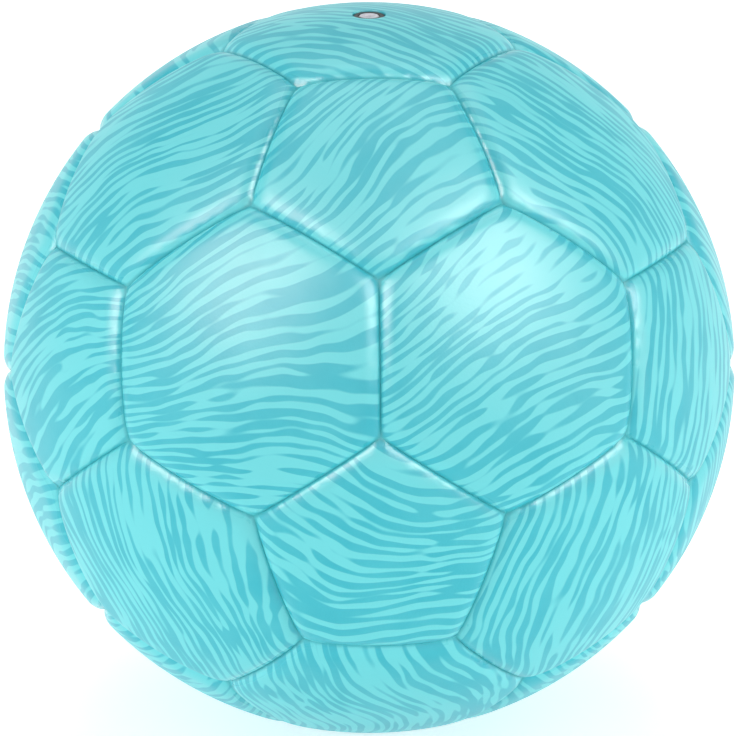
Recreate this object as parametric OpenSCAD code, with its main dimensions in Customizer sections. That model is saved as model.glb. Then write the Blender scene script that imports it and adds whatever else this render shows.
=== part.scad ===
/* [Ball] */
// Diameter of the blown-up ball, over the crowns of its panels
ball_d = 162; // [150:1:188]

/* [Panels] */
// Thickness of the outer skin and of its turned-in rim
skin_t = 1; // [0.8:0.1:1.4]
// Thickness of the foam under the skin
foam_t = 2.2; // [1.6:0.1:3]
// Thickness of the woven lining under the foam
lining_t = 0.8; // [0.6:0.1:1.2]
// Thickness of the glue between two layers
glue_t = 0.1; // [0.05:0.05:0.2]

/* [Seams] */
// Gap between the rims of two neighbouring panels
seam_gap = 0.3; // [0.2:0.05:0.5]
// How far the seams lie below the crowns
seam_drop = 1.6; // [1.2:0.1:2]
// Width of the rolled edge on each side of a seam
roll_w = 6; // [5:0.5:8]
// Angle at which a rolled edge breaks away from the crown
roll_break_angle = 5; // [3:1:6]
// Thickness of the sewing thread
thread_d = 0.7; // [0.4:0.1:0.75]

/* [Bladder] */
// Thickness of the rubber wall
bladder_t = 1; // [0.8:0.1:1.6]
// Clearance between the bladder and what it presses against
bladder_gap = 0.05; // [0.05:0.01:0.1]

/* [Valve body] */
// Diameter of the flange that is glued to the bladder
flange_d = 24; // [20:1:30]
// Thickness of the flange
flange_t = 0.7; // [0.5:0.05:0.75]
// Diameter of the neck that shows in the top panel
neck_d = 7; // [6.4:0.1:8]
// How far the neck ends below the crown
neck_drop = 0.4; // [0.2:0.1:0.8]
// Diameter of the stem inside the bladder
stem_d = 9; // [8:0.2:11]
// Length of the stem below the flange
stem_l = 15; // [14:0.5:20]
// Thickness of the floor at the stem's inner end
stem_floor_t = 1.5; // [1:0.1:2.5]
// Diameter of the air hole in that floor
air_hole_d = 2.4; // [1.6:0.2:3]
// Clearance around the neck, the stem and the flange
valve_gap = 0.1; // [0.05:0.05:0.2]
// Width of the small bevels on the valve's edges
valve_bevel = 0.3; // [0.2:0.05:0.4]

/* [Valve core] */
// Diameter of the plug that the needle goes through
plug_d = 4.6; // [4:0.1:5]
// Diameter of the bead that keeps the plug in its socket
bead_d = 5.8; // [5.4:0.1:6.2]
// Length of the bead between its two sloped shoulders
bead_l = 0.8; // [0.5:0.1:1.5]
// Depth of the bead's upper edge below the plug's outer face
bead_depth = 9; // [8:0.5:11]
// Clearance between the plug and its socket
plug_gap = 0.05; // [0.03:0.01:0.08]
// Diameter of the bore for the pump's needle
needle_d = 2; // [1.8:0.1:2.4]
// Length of that bore below its funnel
needle_bore_l = 8; // [6:0.5:10]
// Diameter of the funnel at the bore's mouth
funnel_d = 3; // [2.8:0.1:3.4]
// Width of the slit that closes behind the needle
slit_w = 2.6; // [2:0.1:3.2]
// Thickness of the slit while it is open
slit_t = 0.2; // [0.1:0.05:0.3]

/* [Hidden] */
// How far a cutting shape reaches past what it cuts
overrun = 1;
// Number of steps in a full turn
$fn = 96;

// Radii of the spheres that the layers lie on
ball_r = ball_d / 2;
foam_r = ball_r - skin_t - glue_t;
foam_floor_r = foam_r - foam_t;
lining_r = foam_floor_r - glue_t;
lining_floor_r = lining_r - lining_t;
thread_r = lining_r - thread_d / 2;
reach = ball_r + overrun;

// The bladder presses against the thickest of what lies between it and the foam
press_r = lining_r - max(lining_t, thread_d, flange_t);
bladder_r = press_r - bladder_gap;
bladder_floor_r = bladder_r - bladder_t;

// Distance from a seam's plane to the side wall of the foam and the lining
foam_inset = skin_t + glue_t;

// A seam's chord as a share of the radius, on a ball of 12 pentagons and 20 hexagons
seam_share = 4 / sqrt(58 + 18 * sqrt(5));
seam_angle = 2 * asin(seam_share / 2);
thread_angle = seam_angle - thread_d / thread_r * 180 / PI;

// Angle at the ball's centre from the middle of a panel to a corner, and to the middle of a seam
function corner_angle(sides) = asin(seam_share / (2 * sin(180 / sides)));
function edge_angle(sides) = atan(tan(corner_angle(sides)) * cos(180 / sides));

// Directions of the 12 pentagons, as polar angle and turn, with a hexagon at the top
upper_ring_angle = acos(sqrt((5 + 2 * sqrt(5)) / 15));
lower_ring_angle = acos(sqrt((5 - 2 * sqrt(5)) / 15));
function direction(polar, turn) = [sin(polar) * cos(turn), sin(polar) * sin(turn), cos(polar)];
pentagons = [
    for (k = [0:2]) direction(upper_ring_angle, 120 * k - 90),
    for (k = [0:2]) direction(lower_ring_angle, 120 * k + 90),
    for (k = [0:2]) direction(180 - lower_ring_angle, 120 * k - 90),
    for (k = [0:2]) direction(180 - upper_ring_angle, 120 * k + 90)
];

// Two pentagons are neighbours if one seam joins them, and three of them surround a hexagon
neighbour_angle = acos(1 / sqrt(5));
function angle_between(a, b) = acos(max(-1, min(1, a * b)));
function are_neighbours(i, j) = abs(angle_between(pentagons[i], pentagons[j]) - neighbour_angle) < 1;
pairs = [
    for (i = [0:11])
        for (j = [i + 1:1:11])
            if (are_neighbours(i, j)) [i, j]
];
triples = [
    for (pair = pairs)
        for (k = [pair[1] + 1:1:11])
            if (are_neighbours(pair[0], k) && are_neighbours(pair[1], k)) [pair[0], pair[1], k]
];

function unit(v) = v / norm(v);
function midway(pair) = unit(pentagons[pair[0]] + pentagons[pair[1]]);
function middle(triple) = unit(pentagons[triple[0]] + pentagons[triple[1]] + pentagons[triple[2]]);
function a_neighbour(i) = [for (j = [0:11]) if (j != i && are_neighbours(i, j)) j][0];

// The profile of a rolled edge, as distance from the ball's centre and from the seam's plane:
// an arc from the seam up to the crown, which it meets at the break angle
roll_angle = roll_w / ball_r * 180 / PI;
roll_start = [ball_r - seam_drop, 0];
roll_end = ball_r * [cos(roll_angle), sin(roll_angle)];
roll_chord = roll_end - roll_start;
roll_lean = roll_angle - roll_break_angle;
roll_normal = [cos(roll_lean), sin(roll_lean)];
roll_r = roll_chord * roll_chord / (2 * roll_chord * roll_normal);
roll_centre = roll_end - roll_r * roll_normal;
roll_side = atan2(roll_centre[1], roll_centre[0]);
roll_span = seam_angle + 2 * roll_side;

// Levels along the valve's axis
neck_top = ball_r - neck_drop;
flange_r = press_r + flange_t;
stem_top = press_r + flange_t / 2;
stem_end = press_r - stem_l;
stem_floor_top = stem_end + stem_floor_t;
plug_end = stem_floor_top + plug_gap;
bead_top = neck_top - bead_depth;
bead_bevel = (bead_d - plug_d) / 2;
bead_end = bead_top - bead_l - 2 * bead_bevel;
funnel_l = (funnel_d - needle_d) / 2;
needle_bore_end = neck_top - funnel_l - needle_bore_l;

skin_colour = [0.50, 0.87, 0.90];
foam_colour = [0.93, 0.91, 0.84];
lining_colour = [0.90, 0.90, 0.88];
thread_colour = [0.12, 0.42, 0.48];
bladder_colour = [0.16, 0.16, 0.17];
body_colour = [0.07, 0.09, 0.10];
core_colour = [0.92, 0.93, 0.92];

// Turns +Z to a direction, with +X on the side of another direction
module aim(z_way, x_way) {
    y = unit(cross(z_way, x_way));
    x = cross(y, z_way);
    multmatrix([
        [x[0], y[0], z_way[0], 0],
        [x[1], y[1], z_way[1], 0],
        [x[2], y[2], z_way[2], 0]
    ])
        children();
}

// Puts a panel that was made at the top of the ball, with one side facing +X, in its place
module in_hexagon(i) {
    aim(middle(triples[i]), pentagons[triples[i][0]]) children();
}

module in_pentagon(i) {
    aim(pentagons[i], pentagons[a_neighbour(i)]) rotate([0, 0, 180 / 5]) children();
}

// Turns +Z to the middle of a side, with -X facing the middle of the panel
module on_side(sides) {
    rotate([0, edge_angle(sides), 0])
        children();
}

// A hollow ball, turned so that no pole lies in the panel at the top
module shell(outer_r, inner_r) {
    rotate([90, 0, 0]) difference() {
        sphere(r = outer_r);
        sphere(r = inner_r);
    }
}

// Everything on the far side of a seam, and of its gap
module far_side(inset) {
    translate([-seam_gap / 2 - inset, -reach, -reach])
        cube(2 * reach);
}

// What a rolled edge takes off along a seam, for a layer at a depth below the skin's face
module edge_cut(depth) {
    inner_r = roll_start[0] - depth - overrun;
    rotate([0, -90, 0]) rotate([0, 0, -roll_span / 2]) rotate_extrude(angle = roll_span) difference() {
        polygon([
            [inner_r, 0],
            [reach, 0],
            reach * [cos(roll_side), sin(roll_side)],
            inner_r * [cos(roll_side), sin(roll_side)]
        ]);
        translate(roll_centre)
            circle(r = roll_r - depth);
    }
}

// A layer of a panel at the top of the ball, cut off flat along its seams
module flat_sided(sides, depth, inset, floor_r) {
    difference() {
        shell(ball_r - depth, floor_r);
        for (k = [0:sides - 1])
            rotate([0, 0, k * 360 / sides]) on_side(sides) far_side(inset);
    }
}

// The same layer with rolled edges along the first so many of its sides
module rolled(sides, depth, inset, floor_r, rolls) {
    if (rolls == 0)
        flat_sided(sides, depth, inset, floor_r);
    else
        difference() {
            rolled(sides, depth, inset, floor_r, rolls - 1);
            rotate([0, 0, rolls * 360 / sides]) on_side(sides) edge_cut(depth);
        }
}

module skin(sides) {
    color(skin_colour) difference() {
        rolled(sides, 0, 0, lining_r, sides);
        rolled(sides, skin_t, skin_t, lining_r - overrun, sides);
    }
}

module foam(sides) {
    color(foam_colour)
        rolled(sides, foam_inset, foam_inset, foam_floor_r, sides);
}

module lining(sides) {
    color(lining_colour)
        flat_sided(sides, ball_r - lining_r, foam_inset, lining_floor_r);
}

// A hole along the valve's axis, out from the ball's centre
module hole(d) {
    cylinder(d = d, h = reach);
}

module valve_panel() {
    color(skin_colour) difference() {
        in_hexagon(0) skin(6);
        hole(neck_d + 2 * valve_gap);
    }
}

module hexagon_panel(i) {
    in_hexagon(i) skin(6);
}

module pentagon_panel(i) {
    in_pentagon(i) skin(5);
}

module hexagon_foam() {
    color(foam_colour) difference() {
        in_hexagon(0) foam(6);
        hole(neck_d + 2 * valve_gap);
    }
    for (i = [1:19])
        in_hexagon(i) foam(6);
}

module pentagon_foam() {
    for (i = [0:11])
        in_pentagon(i) foam(5);
}

module hexagon_lining() {
    color(lining_colour) difference() {
        in_hexagon(0) lining(6);
        hole(flange_d + 2 * valve_gap);
    }
    for (i = [1:19])
        in_hexagon(i) lining(6);
}

module pentagon_lining() {
    for (i = [0:11])
        in_pentagon(i) lining(5);
}

// One seam's strand, from corner to corner along Y under the rims at the top of the ball
module strand() {
    rotate([0, -90, 0]) rotate([0, 0, -thread_angle / 2]) rotate_extrude(angle = thread_angle)
        translate([thread_r, 0])
            circle(d = thread_d);
}

module seam_thread() {
    color(thread_colour) {
        for (i = [0:11], k = [0:4])
            in_pentagon(i) rotate([0, 0, k * 360 / 5]) on_side(5) strand();
        for (pair = pairs)
            aim(midway(pair), pentagons[pair[0]]) rotate([0, 0, 90]) strand();
    }
}

module bladder() {
    color(bladder_colour) difference() {
        shell(bladder_r, bladder_floor_r);
        hole(stem_d + 2 * valve_gap);
    }
}

// The plug's outer shape, grown by a clearance where it cuts its own socket
module plug_blank(gap, top) {
    side_r = plug_d / 2 + gap;
    bead_r = bead_d / 2 + gap;
    rotate_extrude() polygon([
        [0, plug_end - gap],
        [side_r, plug_end - gap],
        [side_r, bead_end - gap],
        [bead_r, bead_end + bead_bevel - gap],
        [bead_r, bead_top - bead_bevel + gap],
        [side_r, bead_top + gap],
        [side_r, top],
        [0, top]
    ]);
}

// What a bevel takes off the top edge of the neck or the plug
module top_bevel(d) {
    size = valve_bevel + 2 * overrun;
    translate([0, 0, neck_top - valve_bevel - overrun]) rotate_extrude() polygon([
        [d / 2 + overrun, 0],
        [d / 2 + overrun, size],
        [d / 2 + overrun - size, size]
    ]);
}

module valve_body() {
    color(body_colour) difference() {
        union() {
            intersection() {
                shell(flange_r, press_r);
                cylinder(d = flange_d, h = reach);
            }
            translate([0, 0, stem_end])
                cylinder(d = stem_d, h = stem_top - stem_end);
            translate([0, 0, stem_top])
                cylinder(d = neck_d, h = neck_top - stem_top);
        }
        plug_blank(plug_gap, reach);
        top_bevel(neck_d);
        translate([0, 0, stem_end - overrun])
            cylinder(d = air_hole_d, h = stem_floor_t + 2 * overrun);
    }
}

module valve_core() {
    color(core_colour) difference() {
        plug_blank(0, neck_top);
        top_bevel(plug_d);
        translate([0, 0, needle_bore_end])
            cylinder(d = needle_d, h = needle_bore_l + 2 * overrun);
        translate([0, 0, neck_top - funnel_l])
            cylinder(d1 = needle_d, d2 = funnel_d, h = funnel_l);
        translate([-slit_w / 2, -slit_t / 2, plug_end - overrun])
            cube([slit_w, slit_t, needle_bore_end - plug_end + overrun]);
    }
}

// Hexagon 0 is the one with the valve, and the others and the pentagons are numbered from 1
function numbered(name, i) = str(name, i < 10 ? "0" : "", i);
function hexagon_name(i) = numbered("hexagon_panel_", i);
function pentagon_name(i) = numbered("pentagon_panel_", i + 1);

valve_panel();
for (i = [1:19])
    hexagon_panel(i);
for (i = [0:11])
    pentagon_panel(i);
hexagon_foam();
pentagon_foam();
hexagon_lining();
pentagon_lining();
seam_thread();
bladder();
valve_body();
valve_core();
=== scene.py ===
import bpy
import bmesh
import math
from itertools import combinations
from mathutils import Matrix, Vector


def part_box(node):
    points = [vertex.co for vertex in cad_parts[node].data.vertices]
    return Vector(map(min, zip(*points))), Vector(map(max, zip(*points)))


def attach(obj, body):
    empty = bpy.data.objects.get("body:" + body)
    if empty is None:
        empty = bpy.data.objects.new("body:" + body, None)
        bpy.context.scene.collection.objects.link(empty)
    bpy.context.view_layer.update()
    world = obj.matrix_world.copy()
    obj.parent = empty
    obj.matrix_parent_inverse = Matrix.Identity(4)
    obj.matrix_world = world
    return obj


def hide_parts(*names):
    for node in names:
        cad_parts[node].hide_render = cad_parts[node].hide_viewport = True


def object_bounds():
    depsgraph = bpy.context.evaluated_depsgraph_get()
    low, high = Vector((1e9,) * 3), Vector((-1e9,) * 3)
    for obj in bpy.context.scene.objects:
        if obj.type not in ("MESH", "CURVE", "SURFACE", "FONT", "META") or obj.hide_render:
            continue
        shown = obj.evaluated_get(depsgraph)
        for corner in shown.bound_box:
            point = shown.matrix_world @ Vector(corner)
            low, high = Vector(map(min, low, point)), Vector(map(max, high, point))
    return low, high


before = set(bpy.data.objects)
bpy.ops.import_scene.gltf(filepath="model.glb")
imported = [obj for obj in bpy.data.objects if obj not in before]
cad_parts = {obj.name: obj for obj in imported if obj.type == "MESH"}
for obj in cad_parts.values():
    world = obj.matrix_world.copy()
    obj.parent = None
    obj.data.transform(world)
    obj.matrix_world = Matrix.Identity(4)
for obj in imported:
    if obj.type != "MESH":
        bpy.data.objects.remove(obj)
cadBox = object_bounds()
bpy.ops.object.select_all(action="DESELECT")
print("CAD loaded with", len(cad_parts), "nodes")

tiny = 1e-6  # a distance below this counts as none


# Small helpers

def paint(code):
    # a colour as picked on screen, turned into the values that Blender works with
    parts = [int(code[i:i + 2], 16) / 255 for i in (0, 2, 4)]
    return tuple(c / 12.92 if c <= 0.04045 else ((c + 0.055) / 1.055) ** 2.4 for c in parts) + (1.0,)


def darker(code, share):
    return tuple(share * c for c in paint(code)[:3]) + (1.0,)


def deselectAll():
    if bpy.context.object and bpy.context.object.mode != "OBJECT":
        bpy.ops.object.mode_set(mode="OBJECT")
    bpy.ops.object.select_all(action="DESELECT")


def activate(*pieces):
    deselectAll()
    for piece in pieces:
        piece.select_set(True)
    bpy.context.view_layer.objects.active = pieces[0]


def editMode(piece, kind="EDGE"):
    activate(piece)
    bpy.ops.object.mode_set(mode="EDIT")
    bpy.ops.mesh.select_mode(type=kind)


def pick(piece, kind, test):
    # in edit mode, selects the corners, edges or faces that pass the test
    bpy.ops.mesh.select_mode(type=kind)
    bpy.ops.mesh.select_all(action="DESELECT")
    mesh = bmesh.from_edit_mesh(piece.data)
    for item in {"VERT": mesh.verts, "EDGE": mesh.edges, "FACE": mesh.faces}[kind]:
        if test(item):
            item.select_set(True)
    mesh.select_flush_mode()
    bmesh.update_edit_mesh(piece.data)


def applyModifier(piece, kind, **settings):
    activate(piece)
    modifier = piece.modifiers.new(kind.lower(), kind)
    for name, value in settings.items():
        setattr(modifier, name, value)
    bpy.ops.object.modifier_apply(modifier=modifier.name)


def offAxis(vertex):
    return math.hypot(vertex.co.x, vertex.co.y)


def dress(piece, material):
    piece.data.materials.clear()
    piece.data.materials.append(material)


def finishPiece(piece, material, node, smoothBelow):
    # smooth shading below an angle, the finish, a place under the root, and the CAD node that the piece
    # stands for hidden
    activate(piece)
    bpy.ops.object.shade_smooth_by_angle(angle=math.radians(smoothBelow))
    dress(piece, material)
    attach(piece, "root")
    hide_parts(node)


# Camera: in front of the ball and a little above it, far off, with a long lens
cameraLook = {
    "around": -1.72, "above": 19.6,  # degrees
    "distance": 0.891, "lens": 195.9, "shiftX": -0.0015, "shiftY": -0.0007,
    "clip": (0.01, 50),
}


def placeCamera():
    around, above = math.radians(cameraLook["around"]), math.radians(cameraLook["above"])
    stand = cameraLook["distance"] * Vector((
        math.sin(around) * math.cos(above), -math.cos(around) * math.cos(above), math.sin(above)))
    data = bpy.data.cameras.new("photoCamera")
    data.lens = cameraLook["lens"]
    data.shift_x, data.shift_y = cameraLook["shiftX"], cameraLook["shiftY"]
    data.clip_start, data.clip_end = cameraLook["clip"]
    camera = bpy.data.objects.new("photoCamera", data)
    bpy.context.scene.collection.objects.link(camera)
    camera.location = stand
    camera.rotation_euler = (-stand).to_track_quat("-Z", "Y").to_euler()
    bpy.context.scene.camera = camera


placeCamera()
print("Camera placed")


# Shared shader parts

def add(tree, kind, inputs=None, **settings):
    # a node with its settings; each input is a value or the socket that it is joined to
    node = tree.nodes.new("ShaderNode" + kind)
    for name, value in settings.items():
        setattr(node, name, value)
    for socket, value in (inputs or {}).items():
        if isinstance(value, bpy.types.NodeSocket):
            tree.links.new(value, node.inputs[socket])
        else:
            node.inputs[socket].default_value = value
    return node


def sums(tree, operation, *values):
    return add(tree, "Math", dict(enumerate(values)), operation=operation).outputs[0]


def ramp(tree, value, start, end, low, high, course="SMOOTHSTEP"):
    # as the value goes from start to end, the result goes from low to high
    return add(tree, "MapRange", {
        "Value": value, "From Min": start, "From Max": end, "To Min": low, "To Max": high},
        interpolation_type=course).outputs["Result"]


def mixColours(tree, factor, first, second):
    return add(tree, "Mix", {"Factor": factor, "A": first, "B": second}, data_type="RGBA").outputs["Result"]


def roughen(tree, shader, height):
    # bump from a height in metres
    bump = add(tree, "Bump", {"Height": height, "Distance": 1.0}).outputs["Normal"]
    tree.links.new(bump, shader.inputs["Normal"])


def newGroup(name, inputs, outputs):
    group = bpy.data.node_groups.new(name, "ShaderNodeTree")
    for socket, kind, value in inputs:
        item = group.interface.new_socket(socket, in_out="INPUT", socket_type="NodeSocket" + kind)
        if value is not None:
            item.default_value = value
    for socket, kind in outputs:
        group.interface.new_socket(socket, in_out="OUTPUT", socket_type="NodeSocket" + kind)
    return group, group.nodes.new("NodeGroupInput").outputs, group.nodes.new("NodeGroupOutput")


def useGroup(tree, group, inputs):
    return add(tree, "Group", inputs, node_tree=group).outputs


def newMaterial(name, **shaderValues):
    material = bpy.data.materials.new(name)
    material.use_nodes = True
    tree = material.node_tree
    shader = tree.nodes["Principled BSDF"]
    for socket, value in shaderValues.items():
        shader.inputs[socket.replace("_", " ")].default_value = value
    return material, tree, shader


# Fine grain: shallow rounded cells with a little noise over them
grainLook = {"size": 0.0006, "cellDepth": 0.7, "fuzzDetail": 1.0}


def buildGrain():
    look = grainLook
    group, given, out = newGroup(
        "fineGrain", (("Vector", "Vector", None), ("Size", "Float", look["size"])), (("Height", "Float"),))
    scale = sums(group, "DIVIDE", 1.0, given["Size"])
    cells = add(group, "TexVoronoi", {"Vector": given["Vector"], "Scale": scale})
    fuzz = add(group, "TexNoise", {"Vector": given["Vector"], "Scale": scale, "Detail": look["fuzzDetail"]})
    height = sums(group, "MULTIPLY_ADD", cells.outputs["Distance"], -look["cellDepth"], fuzz.outputs["Fac"])
    group.links.new(height, out.inputs["Height"])
    return group


# Mottle: slow uneven patches between two values
mottleLook = {"size": 0.01, "detail": 4.0, "roughness": 0.55, "spread": (0.3, 0.7)}


def buildMottle():
    look = mottleLook
    group, given, out = newGroup(
        "softMottle",
        (("Vector", "Vector", None), ("Size", "Float", look["size"]),
         ("Low", "Float", 0.0), ("High", "Float", 1.0)),
        (("Value", "Float"),))
    scale = sums(group, "DIVIDE", 1.0, given["Size"])
    patches = add(group, "TexNoise", {
        "Vector": given["Vector"], "Scale": scale, "Detail": look["detail"], "Roughness": look["roughness"]})
    spread = ramp(group, patches.outputs["Fac"], *look["spread"], given["Low"], given["High"], "LINEAR")
    group.links.new(spread, out.inputs["Value"])
    return group


# Weave: threads that pass over and under each other, with dark gaps between them
weaveLook = {"pitch": 0.0008, "gaps": 0.04}


def buildWeave():
    group, given, out = newGroup(
        "plainWeave", (("Vector", "Vector", None), ("Pitch", "Float", weaveLook["pitch"])),
        (("Height", "Float"), ("Gaps", "Float")))
    parts = add(group, "SeparateXYZ", {"Vector": given["Vector"]}).outputs
    turns = sums(group, "DIVIDE", math.pi, given["Pitch"])
    waves = [sums(group, "SINE", sums(group, "MULTIPLY", parts[axis], turns)) for axis in ("X", "Y", "Z")]
    height = sums(group, "MULTIPLY", sums(group, "MULTIPLY", waves[0], waves[1]), waves[2])
    group.links.new(height, out.inputs["Height"])
    gaps = sums(group, "LESS_THAN", sums(group, "ABSOLUTE", height), weaveLook["gaps"])
    group.links.new(gaps, out.inputs["Gaps"])
    return group


fineGrain, softMottle, plainWeave = buildGrain(), buildMottle(), buildWeave()

# Cover skin: printed strokes of turquoise on light cyan, under a satin clear layer
coverLook = {
    "ground": "6fe3ea", "stroke": "30c0d1",
    # seam colour, width and strength: painted shade along the seam's groove
    "seam": "4cc3cc", "seamShadeWidth": 0.0006, "seamShadeStrength": 0.9,
    "coat": 0.2, "coatRoughness": 0.38, "ior": 1.46,
    "spacing": 0.0027,     # between two strokes
    "wander": 7.5,         # how much their spacing drifts
    "wanderSize": 1 / 120,
    "evenness": 0.85,      # share of the regular wave
    "brokenness": 4.4,     # share of the loose strokes that break it up
    "strokeSize": 0.0025,  # width of the loose strokes
    "stretch": 0.16,       # their width as a share of their length
    "fullness": 1.4,       # how much some places have fuller strokes
    "fullnessSize": 1 / 70,
    "slowStretch": 0.4,    # the same share for the wander and the fullness
    "bendSize": 0.036, "bendDepth": 0.019,
    "wiggleSize": 0.006, "wiggleDepth": 0.0012,
    "threshold": (-0.3, 0.35),
    "inkPatches": 0.012, "thinInk": 0.78,
    "roughness": (0.38, 0.48), "roughPatches": 0.02,
    "polish": 0.15, "polishReach": (0.0008, 0.0035),
    "grain": 0.00055, "grainDepth": 0.000016,
    "stitch": 0.0042, "puckerDepth": 0.00005, "puckerReach": 0.003,
}


def plainNoise(tree, vector, size):
    return add(tree, "TexNoise", {"Vector": vector, "Scale": 1 / size, "Detail": 0.0}).outputs


def stretched(tree, vector, share):
    return add(tree, "Mapping", {"Vector": vector, "Scale": (share, 1.0, 1.0)}).outputs[0]


def bendPlan(tree, plan):
    # the whole print drifts over the panel, and each stroke wiggles
    look = coverLook
    bent = plan
    for size, depth in ((look["bendSize"], look["bendDepth"]), (look["wiggleSize"], look["wiggleDepth"])):
        drift = plainNoise(tree, plan, size)["Color"]
        drift = add(tree, "VectorMath", {0: drift, 1: (0.5, 0.5, 0.5)}, operation="SUBTRACT").outputs[0]
        drift = add(tree, "VectorMath", {0: drift, "Scale": depth}, operation="SCALE").outputs[0]
        bent = add(tree, "VectorMath", {0: bent, 1: drift}, operation="ADD").outputs[0]
    return bent


def drawStrokes(tree, plan):
    look = coverLook
    # long loose strokes
    loose = plainNoise(tree, stretched(tree, plan, look["stretch"]), look["strokeSize"])["Fac"]
    # a regular wave across them, whose phase wanders
    aside = add(tree, "SeparateXYZ", {"Vector": plan}).outputs["Y"]
    slow = stretched(tree, plan, look["slowStretch"])
    phase = plainNoise(tree, slow, look["wanderSize"])["Fac"]
    phase = sums(tree, "MULTIPLY", phase, look["wander"])
    wave = sums(tree, "SINE", sums(tree, "MULTIPLY_ADD", aside, 2 * math.pi / look["spacing"], phase))
    full = plainNoise(tree, slow, look["fullnessSize"])["Fac"]
    loose = sums(tree, "SUBTRACT", loose, 0.5)
    wave = sums(tree, "MULTIPLY", wave, look["evenness"])
    blend = sums(tree, "MULTIPLY_ADD", loose, look["brokenness"], wave)
    blend = sums(tree, "MULTIPLY_ADD", sums(tree, "SUBTRACT", full, 0.5), look["fullness"], blend)
    return ramp(tree, blend, *look["threshold"], 0.0, 1.0)


def buildCoverSkin():
    look = coverLook
    material, tree, shader = newMaterial(
        "coverSkin", Coat_Weight=look["coat"], Coat_Roughness=look["coatRoughness"], IOR=look["ior"])
    plan = add(tree, "UVMap", uv_map="printPlan").outputs["UV"]
    strokes = drawStrokes(tree, bendPlan(tree, plan))
    # the ink is a little uneven along each stroke
    where = add(tree, "TexCoord").outputs["Object"]
    ink = useGroup(tree, softMottle, {
        "Vector": where, "Size": look["inkPatches"], "Low": look["thinInk"], "High": 1.0})["Value"]
    inked = sums(tree, "MULTIPLY", strokes, ink)
    printed = mixColours(tree, inked, paint(look["ground"]), paint(look["stroke"]))
    # painted shade: the turned rim and the lip are painted darker towards the seam, in place of the shade in
    # the seam's groove
    fromSeam = add(tree, "Attribute", attribute_name="fromSeam").outputs["Fac"]
    rim = ramp(tree, fromSeam, 0.0, look["seamShadeWidth"], look["seamShadeStrength"], 0.0)
    tree.links.new(mixColours(tree, rim, printed, paint(look["seam"])), shader.inputs["Base Color"])
    # handling has polished the rolled edges
    low, high = look["roughness"]
    worn = useGroup(tree, softMottle, {
        "Vector": where, "Size": look["roughPatches"], "Low": low, "High": high})["Value"]
    polish = ramp(tree, fromSeam, *look["polishReach"], look["polish"], 0.0)
    tree.links.new(sums(tree, "SUBTRACT", worn, polish), shader.inputs["Roughness"])
    # grain all over, and small puckers where the stitches pull the rim in
    grain = useGroup(tree, fineGrain, {"Vector": where, "Size": look["grain"]})["Height"]
    alongSeam = add(tree, "Attribute", attribute_name="alongSeam").outputs["Fac"]
    stitches = sums(tree, "COSINE", sums(tree, "MULTIPLY", alongSeam, 2 * math.pi / look["stitch"]))
    fade = ramp(tree, fromSeam, 0.0, look["puckerReach"], 1.0, 0.0)
    grain = sums(tree, "MULTIPLY", grain, look["grainDepth"])
    puckers = sums(tree, "MULTIPLY", sums(tree, "MULTIPLY", stitches, fade), -look["puckerDepth"])
    roughen(tree, shader, sums(tree, "ADD", grain, puckers))
    return material


coverSkin = buildCoverSkin()
print("Cover skin mixed")

# Panels
panelLook = {
    "ballRadius": 0.081, "skin": 0.001, "seamGap": 0.00002,
    "lipWidth": 0.0008, "lipDepth": 0.0003,    # the turn into the seam
    "rollWidth": 0.0038, "rollDepth": 0.0013,  # the rolled edge behind it
    "lipBlend": 0.0005, "rollBlend": 0.0012,   # how far two sides run into each other at a corner
    "rollOverrun": 0.0003,                     # how far the roll goes on past the edge at a corner
    "sinkRoom": 1.2,                           # how deep full weight sinks, over both depths together
    "rimFoot": 0.0776,                         # where the rim stands on the lining
    "rimMargin": 0.0004,                       # what lies this far below the lip is rim
    "seamBlend": 0.0004,                       # the same for the seam distance that the finish reads
    "rings": (0.00008, 0.00025, 0.0005, 0.0008, 0.0012, 0.0018, 0.0026, 0.0034, 0.0044, 0.006, 0.009),
    "innerRings": (0.00025, 0.0008, 0.0018, 0.0034, 0.006),
    "cuts": 15,
    "valveHole": 0.0036, "holeLip": 0.0003, "lipAngles": (30, 60, 90),
    "unevenness": 0.0003, "unevenSize": 0.022,
    "smoothBelow": 30,                         # degrees
}
cutterLook = {"sides": 64, "depth": 0.02, "middle": 0.078, "plugDepth": 0.004}  # for the holes at the valve
seamShare = 4 / math.sqrt(58 + 18 * math.sqrt(5))  # length of a seam as a share of the ball's radius


def panelAngles(sides):
    # from the middle of a panel to its corner, and to the middle of its side
    corner = math.asin(seamShare / (2 * math.sin(math.pi / sides)))
    return corner, math.atan(math.tan(corner) * math.cos(math.pi / sides))


def seamDistances(point, sides):
    # distance over the ball from each side of a panel at the top of the ball
    middle = panelAngles(sides)[1]
    tilt, rise = math.cos(middle), math.sin(middle)
    ray = point.normalized()
    found = []
    for k in range(sides):
        turn = 2 * math.pi * k / sides
        inward = Vector((-tilt * math.cos(turn), -tilt * math.sin(turn), rise))
        found.append(panelLook["ballRadius"] * math.asin(inward.dot(ray)))
    return found


def blended(distances, spread):
    # the least distance, rounded off where two sides are about as near
    return -spread * math.log(sum(math.exp(-d / spread) for d in distances))


def sinkAt(point, sides, inset):
    # how far the skin's face lies below the ball's crown
    look = panelLook
    distances = [d - inset for d in seamDistances(point, sides)]
    near = min(max(blended(distances, look["lipBlend"]), 0), look["lipWidth"])
    far = min(max(blended(distances, look["rollBlend"]), -look["rollOverrun"]), look["rollWidth"])
    lip = (1 - near / look["lipWidth"]) ** 2
    roll = (1 - far / look["rollWidth"]) ** 2
    return look["lipDepth"] * lip + look["rollDepth"] * roll


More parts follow.
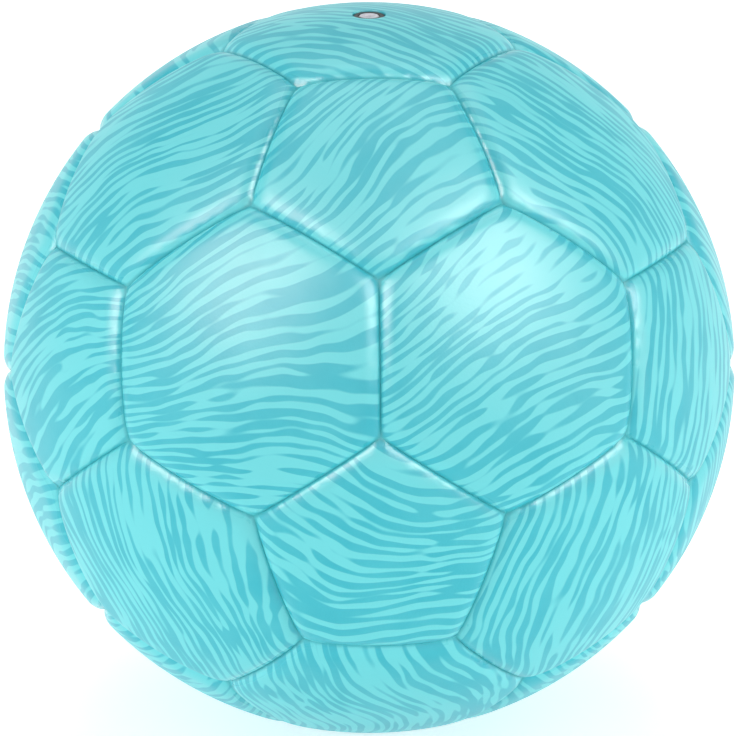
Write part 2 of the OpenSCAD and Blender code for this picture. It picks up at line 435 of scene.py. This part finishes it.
def makeDome(name, sides, radius, inset, rings, cuts, foot=0, sunk=True):
    # one face of a layer at the top of the ball: a flat outline is ringed, rounded onto the ball
    # and sunk at its edge
    edgeDepth = panelLook["lipDepth"] + panelLook["rollDepth"]
    corner = panelAngles(sides)[0]
    deselectAll()
    bpy.ops.mesh.primitive_circle_add(
        vertices=sides, radius=radius * math.sin(corner) - inset / math.cos(math.pi / sides),
        fill_type="NGON", location=(0, 0, radius * math.cos(corner)),
        rotation=(0, 0, math.pi / 2 if sides == 5 else 0))
    piece = bpy.context.object
    piece.name = name
    bpy.ops.object.transform_apply(location=True, rotation=True, scale=True)
    editMode(piece, "FACE")
    bpy.ops.mesh.select_all(action="SELECT")
    done = 0
    for ring in rings:
        bpy.ops.mesh.inset(thickness=ring - done, depth=0)
        done = ring
    bpy.ops.mesh.poke()
    # every edge is cut except those that join two rings at a corner
    pick(piece, "EDGE", lambda e: abs(offAxis(e.verts[0]) - offAxis(e.verts[1])) < tiny
         or min(offAxis(v) for v in e.verts) < tiny)
    bpy.ops.mesh.subdivide(number_cuts=cuts)
    bpy.ops.mesh.select_all(action="SELECT")
    bpy.ops.mesh.normals_make_consistent(inside=False)
    applyModifier(piece, "CAST", cast_type="SPHERE", factor=1.0, use_radius_as_size=False, size=radius)
    if sunk:
        deepest = panelLook["sinkRoom"] * edgeDepth
        sink = piece.vertex_groups.new(name="sink")
        for vertex in piece.data.vertices:
            sink.add([vertex.index], min(1, sinkAt(vertex.co, sides, inset) / deepest), "REPLACE")
        applyModifier(piece, "DISPLACE", direction="NORMAL", strength=-deepest, mid_level=0.0,
                      vertex_group="sink")
    if foot:
        # the rim goes straight down to its foot
        editMode(piece, "EDGE")
        pick(piece, "EDGE", lambda e: e.is_boundary)
        bpy.ops.mesh.extrude_edges_move(TRANSFORM_OT_translate={"value": (0, 0, 0)})
        down = foot / (radius - edgeDepth)
        bpy.ops.transform.resize(value=(down, down, down), center_override=(0, 0, 0))
        bpy.ops.object.mode_set(mode="OBJECT")
    return piece


def closeLayer(face, back):
    # joins a layer's face and its back along their edges
    editMode(back, "FACE")
    bpy.ops.mesh.select_all(action="SELECT")
    bpy.ops.mesh.flip_normals()
    activate(face, back)
    bpy.ops.object.join()
    editMode(face, "EDGE")
    pick(face, "EDGE", lambda e: e.is_boundary)
    bpy.ops.mesh.bridge_edge_loops()
    bpy.ops.mesh.select_all(action="SELECT")
    bpy.ops.mesh.normals_make_consistent(inside=False)
    bpy.ops.object.mode_set(mode="OBJECT")
    face.vertex_groups.clear()
    return face


def makeCutter(radius, depth, middle):
    # a round bar along the valve's axis
    deselectAll()
    bpy.ops.mesh.primitive_cylinder_add(
        vertices=cutterLook["sides"], radius=radius, depth=depth, location=(0, 0, middle))
    cutter = bpy.context.object
    bpy.ops.object.transform_apply(location=True)
    return cutter


def cutWith(piece, cutter):
    applyModifier(piece, "BOOLEAN", operation="DIFFERENCE", solver="EXACT", object=cutter)
    bpy.data.objects.remove(cutter)


def cutRound(piece, radius):
    # a plain round hole along the valve's axis, through the top of a layer
    cutWith(piece, makeCutter(radius, cutterLook["depth"], cutterLook["middle"]))


def cutValveHole(panel):
    # the cutter flares at the ball's face, which leaves a rounded lip around the hole
    hole, lip = panelLook["valveHole"], panelLook["holeLip"]
    depth = cutterLook["plugDepth"]
    mouth = math.sqrt(panelLook["ballRadius"] ** 2 - (hole + lip) ** 2)
    cutter = makeCutter(hole, depth, mouth - lip - depth / 2)
    editMode(cutter, "FACE")
    pick(cutter, "FACE", lambda f: f.normal.z > 0.9)  # its upper end
    radius, rise = hole, 0
    for angle in panelLook["lipAngles"]:
        newRadius = hole + lip * (1 - math.cos(math.radians(angle)))
        newRise = lip * math.sin(math.radians(angle))
        bpy.ops.mesh.extrude_region_move(TRANSFORM_OT_translate={"value": (0, 0, newRise - rise)})
        wider = newRadius / radius
        bpy.ops.transform.resize(value=(wider, wider, 1), center_override=(0, 0, 0))
        radius, rise = newRadius, newRise
    bpy.ops.mesh.extrude_region_move(TRANSFORM_OT_translate={"value": (0, 0, depth / 2)})
    bpy.ops.object.mode_set(mode="OBJECT")
    cutWith(panel, cutter)


def measureSeams(face, sides, gap):
    # how far each point lies from the seam, and how far along it
    look = panelLook
    rimTop = look["ballRadius"] - look["lipDepth"] - look["rollDepth"] - look["rimMargin"]
    fromSeam = face.data.attributes.new("fromSeam", "FLOAT", "POINT")
    alongSeam = face.data.attributes.new("alongSeam", "FLOAT", "POINT")
    for vertex in face.data.vertices:
        distances = [d - gap for d in seamDistances(vertex.co, sides)]
        nearest = distances.index(min(distances))
        turn = 2 * math.pi * nearest / sides
        onRim = vertex.co.length < rimTop
        fromSeam.data[vertex.index].value = 0 if onRim else max(0, blended(distances, look["seamBlend"]))
        alongSeam.data[vertex.index].value = look["ballRadius"] * math.asin(
            abs(Vector((-math.sin(turn), math.cos(turn), 0)).dot(vertex.co.normalized())))


def markField(face, hole):
    # the part that may swell unevenly keeps off the seams and the valve
    look = panelLook
    fromSeam = face.data.attributes["fromSeam"]
    field = face.vertex_groups.new(name="field")
    for vertex in face.data.vertices:
        clear = min(fromSeam.data[vertex.index].value, offAxis(vertex) - look["valveHole"] if hole else 1)
        if vertex.co.length > look["ballRadius"] - look["skin"] / 2 and clear > 0:
            field.add([vertex.index], min(1, clear / look["rollWidth"]), "REPLACE")


def makePanel(name, sides, hole=False):
    # a panel's skin at the top of the ball: a face and a back, joined at the rim's foot
    look = panelLook
    gap = look["seamGap"] / 2
    face = makeDome(name, sides, look["ballRadius"], gap, look["rings"], look["cuts"], look["rimFoot"])
    back = makeDome(name + "Back", sides, look["ballRadius"] - look["skin"], gap + look["skin"],
                    look["innerRings"], look["cuts"], look["rimFoot"])
    closeLayer(face, back)
    if hole:
        cutValveHole(face)
    measureSeams(face, sides, gap)
    markField(face, hole)
    return face


# Directions from the ball's centre to its 12 pentagons and 20 hexagons
def towards(polar, turn):
    return Vector((math.sin(polar) * math.cos(turn), math.sin(polar) * math.sin(turn), math.cos(polar)))


root5 = math.sqrt(5)
pentagonWays = [
    towards(math.acos(math.sqrt((5 + sign * 2 * root5) / 15)), math.radians(120 * k - sign * 90))
    for sign in (1, -1) for k in range(3)]
pentagonWays += [-way for way in pentagonWays]
nearDot = 0.4  # the directions of two neighbouring pentagons have a dot product of 1 / root5
hexagonWays = [
    (a + b + c).normalized() for a, b, c in combinations(pentagonWays, 3)
    if min(a.dot(b), b.dot(c), c.dot(a)) > nearDot]


def nearestWay(ways, target):
    return max(ways, key=lambda way: round(way.dot(target), 5))


def turnedTo(way, side):
    # turns the top of the ball to a panel, with its side facing the neighbour
    across = way.cross(side).normalized()
    return Matrix((across.cross(way), across, way)).transposed().to_4x4()


# Print on each panel: the strokes' direction in degrees from level, seen from outside, their curve and fan
printTurns = {
    "valve_panel": (-20, 3, 0), "hexagon_panel_01": (-72, 4, 0), "hexagon_panel_02": (52, -5, 0),
    "hexagon_panel_03": (20, -3, -12), "hexagon_panel_04": (26, -3, -8), "hexagon_panel_12": (97, -4, 0),
    "hexagon_panel_14": (84, 5, 0), "hexagon_panel_16": (-80, 4, 0), "pentagon_panel_01": (36, -4, 0),
    "pentagon_panel_05": (37, 3, 0), "pentagon_panel_06": (75, -3, 0), "pentagon_panel_07": (-18, -7, 0),
}
printSteps = {
    "turn": 137.5, "curve": 4, "fan": 6,  # from one to the next of the panels that the list leaves out
    "shift": (0.37, 0.23),                # each panel is cut from another place of the print
}


def printOn(node, number):
    others = (
        printSteps["turn"] * number % 180,
        printSteps["curve"] * (-1) ** number,
        printSteps["fan"] * (number % 3 - 1))
    return printTurns.get(node, others)


def layPrint(piece, way, turn, curve, fan, number):
    # flattens the panel onto a plan in metres, with the strokes along its first direction
    east = Vector((0, 0, 1)).cross(way)
    east = east.normalized() if east.length > tiny else Vector((1, 0, 0))
    north = way.cross(east)
    cosTurn, sinTurn = math.cos(math.radians(turn)), math.sin(math.radians(turn))
    shiftAlong, shiftAside = (step * number for step in printSteps["shift"])
    spots = []
    for vertex in piece.data.vertices:
        ray = vertex.co.normalized()
        x, y = ray.dot(east), ray.dot(north)
        flat = math.hypot(x, y)
        reach = panelLook["ballRadius"] * (math.atan2(flat, ray.dot(way)) / flat if flat > tiny else 1)
        along, aside = reach * (x * cosTurn + y * sinTurn), reach * (y * cosTurn - x * sinTurn)
        spots.append((along + shiftAlong, aside * (1 + fan * along) + curve * along * along + shiftAside))
    plan = piece.data.uv_layers.new(name="printPlan")
    for loop in piece.data.loops:
        plan.data[loop.index].uv = spots[loop.vertex_index]


def copyTo(blank, way, side):
    # a copy of what was made at the top of the ball, with a mesh of its own, turned to its place
    piece = blank.copy()
    piece.data = blank.data.copy()
    bpy.context.scene.collection.objects.link(piece)
    piece.data.transform(turnedTo(way, side))
    return piece


def placePanels():
    look = panelLook
    blanks = {
        "hexagon": makePanel("hexagonBlank", 6), "pentagon": makePanel("pentagonBlank", 5),
        "valve": makePanel("valveBlank", 6, hole=True)}
    cloud = bpy.data.textures.new("unevenness", "CLOUDS")
    cloud.noise_scale = look["unevenSize"]
    cloud.noise_depth = 1
    nodes = sorted(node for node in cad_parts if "_panel" in node)
    for number, node in enumerate(nodes):
        kind = node.split("_")[0]
        ways, others = (pentagonWays, hexagonWays) if kind == "pentagon" else (hexagonWays, pentagonWays)
        low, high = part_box(node)
        way = nearestWay(ways, (Vector(low) + Vector(high)) / 2)
        piece = copyTo(blanks[kind], way, nearestWay(others, way))
        piece.name = piece.data.name = kind + "Skin" + (node[-2:] if node[-1].isdigit() else "")
        applyModifier(piece, "DISPLACE", texture=cloud, texture_coords="LOCAL", direction="NORMAL",
                      strength=look["unevenness"], mid_level=1.0, vertex_group="field")
        piece.vertex_groups.clear()
        layPrint(piece, way, *printOn(node, number), number)
        finishPiece(piece, coverSkin, node, look["smoothBelow"])
    for blank in blanks.values():
        bpy.data.objects.remove(blank)
    print("Panels placed:", len(nodes))


placePanels()

# Pads: a foam pad under each panel, and lining cloth under that
padLook = {
    "inset": 0.0011,  # inside the skin's rim
    "floorRings": (0.001, 0.005), "cuts": 7,
    "edgeBevel": 0.0003,
    "bevelAbove": 50, "smoothBelow": 40,  # degrees
}
foamLook = {
    "top": 0.0799, "floor": 0.0777, "rings": (0.0004, 0.001, 0.0018, 0.0028, 0.005), "sunk": True,
    "hole": 0.0036,
    "colour": "ece7d6", "roughness": 0.85, "grain": 0.0007, "grainDepth": 0.00008,
}
liningLook = {
    "top": 0.0776, "floor": 0.0768, "rings": (0.0006, 0.004), "sunk": False,
    "hole": 0.0121,
    "colour": "e4e4de", "pitch": 0.0009, "weaveDepth": 0.0001,
}


def makePad(name, sides, look, hole=False):
    # a foam pad or a piece of lining at the top of the ball
    inset, cuts = padLook["inset"], padLook["cuts"]
    face = makeDome(name, sides, look["top"], inset, look["rings"], cuts, sunk=look["sunk"])
    floor = makeDome(name + "Floor", sides, look["floor"], inset, padLook["floorRings"], cuts, sunk=False)
    closeLayer(face, floor)
    applyModifier(face, "BEVEL", width=padLook["edgeBevel"], segments=2, limit_method="ANGLE",
                  angle_limit=math.radians(padLook["bevelAbove"]))
    if hole:
        cutRound(face, look["hole"])
    return face


def placeLayer(name, sides, look, material, node):
    # one pad under every panel with so many sides, joined to one piece
    ways, others = (hexagonWays, pentagonWays) if sides == 6 else (pentagonWays, hexagonWays)
    blanks = [makePad(name + "Blank", sides, look)]
    if sides == 6:
        blanks.append(makePad(name + "Drilled", sides, look, hole=True))  # for the pad under the valve
    pads = [
        copyTo(blanks[-1] if way.z > 1 - tiny else blanks[0], way, nearestWay(others, way)) for way in ways]
    activate(*pads)
    bpy.ops.object.join()
    for blank in blanks:
        bpy.data.objects.remove(blank)
    layer = pads[0]
    layer.name = layer.data.name = name
    finishPiece(layer, material, node, padLook["smoothBelow"])


# Soft finishes: foam and rubber have a fine grain and darker patches, cloth and thread a weave with dark gaps
softLook = {"patches": 0.015, "patchStrength": 0.35, "patchShade": 0.72}
wovenLook = {"roughness": 0.85, "gapShade": 0.6}


def buildSoftLayer(name, look):
    material, tree, shader = newMaterial(name, Roughness=look["roughness"])
    where = add(tree, "TexCoord").outputs["Object"]
    cells = useGroup(tree, fineGrain, {"Vector": where, "Size": look["grain"]})
    tone = useGroup(tree, softMottle, {
        "Vector": where, "Size": softLook["patches"], "Low": 0.0, "High": softLook["patchStrength"]})["Value"]
    colour = look["colour"]
    mixed = mixColours(tree, tone, paint(colour), darker(colour, softLook["patchShade"]))
    tree.links.new(mixed, shader.inputs["Base Color"])
    roughen(tree, shader, sums(tree, "MULTIPLY", cells["Height"], look["grainDepth"]))
    return material


def buildWovenLayer(name, look):
    material, tree, shader = newMaterial(name, Roughness=wovenLook["roughness"])
    where = add(tree, "TexCoord").outputs["Object"]
    weave = useGroup(tree, plainWeave, {"Vector": where, "Pitch": look["pitch"]})
    colour = look["colour"]
    mixed = mixColours(tree, weave["Gaps"], paint(colour), darker(colour, wovenLook["gapShade"]))
    tree.links.new(mixed, shader.inputs["Base Color"])
    roughen(tree, shader, sums(tree, "MULTIPLY", weave["Height"], look["weaveDepth"]))
    return material


backingFoam = buildSoftLayer("backingFoam", foamLook)
placeLayer("hexagonFoam", 6, foamLook, backingFoam, "hexagon_foam")
placeLayer("pentagonFoam", 5, foamLook, backingFoam, "pentagon_foam")
print("Foam pads placed")

liningCloth = buildWovenLayer("liningCloth", liningLook)
placeLayer("hexagonLining", 6, liningLook, liningCloth, "hexagon_lining")
placeLayer("pentagonLining", 5, liningLook, liningCloth, "pentagon_lining")
print("Lining placed")

# Bladder: a moulded rubber ball with a shallow mould line around it and a hole for the valve's stem
bladderLook = {
    "radius": 0.07675, "wall": 0.001, "segments": 96, "rings": 48,
    "stemHole": 0.0046, "mouldLine": 0.0004, "mouldDepth": 0.00015,
    "smoothBelow": 40,  # degrees
    "colour": "2a2a2c", "roughness": 0.55, "grain": 0.0009, "grainDepth": 0.00002,
}


def buildBladder():
    look = bladderLook
    deselectAll()
    bpy.ops.mesh.primitive_uv_sphere_add(
        segments=look["segments"], ring_count=look["rings"], radius=look["radius"])
    piece = bpy.context.object
    piece.name = piece.data.name = "bladderShell"
    editMode(piece, "EDGE")
    pick(piece, "EDGE", lambda e: all(abs(v.co.z) < tiny for v in e.verts))
    bpy.ops.mesh.bevel(offset=look["mouldLine"], segments=2, affect="EDGES")
    pick(piece, "EDGE", lambda e: all(abs(v.co.z) < tiny for v in e.verts))
    shrink = 1 - look["mouldDepth"] / look["radius"]
    bpy.ops.transform.resize(value=(shrink, shrink, 1), center_override=(0, 0, 0))
    applyModifier(piece, "SOLIDIFY", thickness=look["wall"], offset=-1)
    cutRound(piece, look["stemHole"])
    rubber = buildSoftLayer("bladderRubber", look)
    finishPiece(piece, rubber, "bladder", look["smoothBelow"])


buildBladder()

# Thread and valve: the CAD nodes keep their shape and get their finish
threadLook = {"colour": "1d6672", "pitch": 0.0004, "weaveDepth": 0.00005}
valveLook = {"colour": "16272c", "roughness": 0.45, "grain": 0.0006, "grainDepth": 0.000015}
plugLook = {"colour": "e2e3ec", "roughness": 0.4, "grain": 0.0006, "grainDepth": 0.00001}

dress(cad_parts["seam_thread"], buildWovenLayer("waxedThread", threadLook))
dress(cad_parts["valve_body"], buildSoftLayer("valveRubber", valveLook))
dress(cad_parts["valve_core"], buildSoftLayer("plugRubber", plugLook))
print("Bladder, thread and valve finished")


# Stage: a white floor and white air, two lamps for the sheen alone, one overhead and three small fills
stageLook = {
    "floorSize": 6.0, "floor": "f4f4f2", "floorRoughness": 0.9,
    "floorPatch": (0.7, 0.7, 0.7, 1), "patchSize": 0.5, "patchStrength": 0.03,
    "floorGlow": 0.58, "floorBounce": 0.1,  # as seen, and as it lights the ball
    "seenAir": (1.0, 0.5), "seenRise": (0.12, 0.5),
    "litAir": (0.58, 0.5), "litRise": (0.0, 0.8),
    "lights": (
        # name, place, size, watts, tint, what it feeds
        ("leftSheen", (-0.80, -0.64, 0.84), 0.9, 26.5, "ffe0d8", "gloss"),
        ("rightSheen", (0.72, -0.63, 0.88), 0.9, 26.5, "ffe0d8", "gloss"),
        ("topSoftbox", (0.0, 0.35, 1.2), 0.9, 4.5, "ffffff", "both"),
        ("frontFill", (0.0, -1.2, 0.1), 0.35, 0.9, "ffffff", "colour"),
        ("leftFill", (-1.15, -0.45, 0.16), 0.45, 3.8, "ffffff", "colour"),
        ("rightFill", (1.15, -0.45, 0.16), 0.45, 3.8, "ffffff", "colour"),
    ),
}


def seenDirectly(tree):
    # 1 for what is seen, straight, mirrored or through glass, and 0 for the light that falls on things
    rays = add(tree, "LightPath").outputs
    return sums(tree, "MAXIMUM", rays["Is Camera Ray"],
                sums(tree, "MAXIMUM", rays["Is Glossy Ray"], rays["Is Transmission Ray"]))


def buildFloor():
    look = stageLook
    deselectAll()
    bpy.ops.mesh.primitive_plane_add(size=look["floorSize"], location=(0, 0, cadBox[0][2]))
    floor = bpy.context.object
    floor.name = "studioFloor"
    bpy.ops.object.transform_apply(location=True)
    material, tree, shader = newMaterial("studioFloor", Roughness=look["floorRoughness"])
    where = add(tree, "TexCoord").outputs["Object"]
    tone = useGroup(tree, softMottle, {
        "Vector": where, "Size": look["patchSize"], "Low": 0.0, "High": look["patchStrength"]})["Value"]
    mixed = mixColours(tree, tone, paint(look["floor"]), look["floorPatch"])
    tree.links.new(mixed, shader.inputs["Base Color"])
    strength = ramp(tree, seenDirectly(tree), 0.0, 1.0, look["floorBounce"], look["floorGlow"], "LINEAR")
    glow = add(tree, "Emission", {"Color": (1, 1, 1, 1), "Strength": strength})
    both = add(tree, "AddShader", {0: shader.outputs[0], 1: glow.outputs[0]})
    tree.links.new(both.outputs[0], tree.nodes["Material Output"].inputs["Surface"])
    floor.data.materials.append(material)


def buildAir():
    look = stageLook
    world = bpy.data.worlds.new("studioAir")
    bpy.context.scene.world = world
    world.use_nodes = True
    tree = world.node_tree
    seen = seenDirectly(tree)
    # seen or mirrored, the air is white at the horizon and darker overhead
    height = add(tree, "SeparateXYZ", {"Vector": add(tree, "TexCoord").outputs["Generated"]}).outputs["Z"]
    seenAir = ramp(tree, height, *look["seenRise"], *look["seenAir"])
    litAir = ramp(tree, height, *look["litRise"], *look["litAir"])
    back = tree.nodes["Background"]
    back.inputs["Color"].default_value = (1, 1, 1, 1)
    strength = ramp(tree, seen, 0.0, 1.0, litAir, seenAir, "LINEAR")
    tree.links.new(strength, back.inputs["Strength"])


def placeLights():
    for name, place, size, watts, tint, feeds in stageLook["lights"]:
        data = bpy.data.lights.new(name, "AREA")
        data.shape = "SQUARE"
        data.size = size
        data.energy = watts
        data.color = paint(tint)[:3]
        light = bpy.data.objects.new(name, data)
        light.visible_camera = False
        light.visible_diffuse = feeds != "gloss"
        light.visible_glossy = feeds != "colour"
        light.location = place
        light.rotation_euler = (-Vector(place)).to_track_quat("-Z", "Y").to_euler()
        bpy.context.scene.collection.objects.link(light)


buildFloor()
buildAir()
placeLights()
bpy.context.scene.view_settings.view_transform = "Standard"
print("Stage built")

deselectAll()
